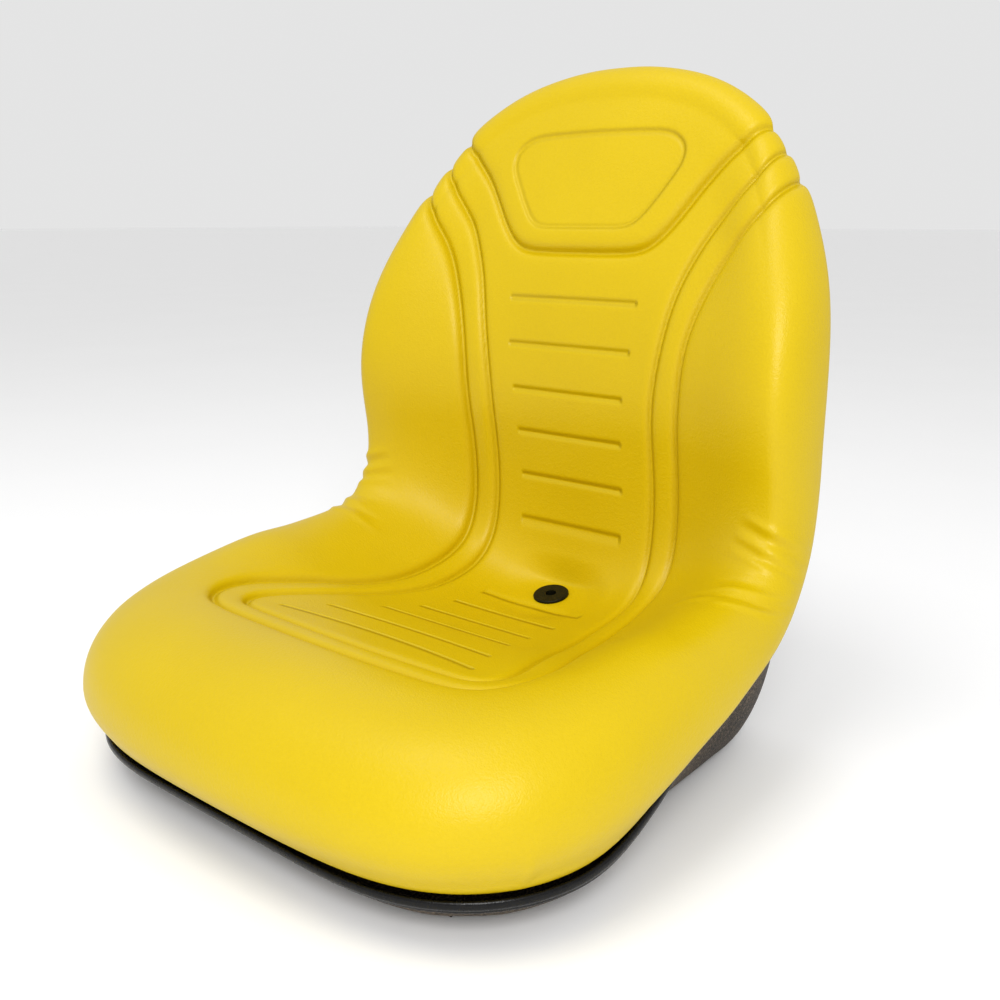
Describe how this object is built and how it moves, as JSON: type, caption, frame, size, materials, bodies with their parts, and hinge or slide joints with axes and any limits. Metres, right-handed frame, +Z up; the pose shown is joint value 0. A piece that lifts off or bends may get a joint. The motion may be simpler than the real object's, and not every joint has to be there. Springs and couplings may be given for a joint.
{
  "type": "riding mower seat",
  "caption": "High-back bucket seat with a moulded padded cushion on a pressed steel pan, edge trim, a drain and an operator presence switch underneath.",
  "frame": {"origin": "middle of the four mounting holes, on the underside of the pan's mounting pads", "axes": "+Z up, the rider faces -Y, +X is the rider's left"},
  "size_m": [0.5055, 0.4938, 0.5654],
  "materials": {
    "cover": "semi-gloss grained vinyl",
    "foam": "moulded urethane foam",
    "trim": "glossy black",
    "pan": "speckled dark coating",
    "plates": "dark coating",
    "nuts": "zinc plated",
    "drain": "moulded black",
    "switch_plastic": "moulded black",
    "seal": "matt",
    "plunger": "natural nylon",
    "contacts": "plain",
    "spring": "bright wire"
  },
  "bodies": {
    "seat": {"vinyl_cover": "cover", "foam_cushion": "foam", "edge_trim": "trim", "seat_pan": "pan", "mounting_plates": "plates", "weld_nuts": "nuts", "drain_grommet": "drain", "drain_tube": "drain", "switch_body": "switch_plastic", "switch_nut": "switch_plastic", "switch_seal": "seal", "switch_terminals": "contacts", "switch_spring": "spring", "switch_puck": "switch_plastic"},
    "plunger": {"switch_plunger": "plunger", "switch_contact": "contacts"}
  },
  "joints": [
    {"name": "plunger_press", "type": "slide", "parent": "seat", "child": "plunger", "axis": [0, 0, -1], "range_m": [0, 0.004], "stiffness_N_per_m": 1500, "deforming": ["switch_spring"]}
  ]
}
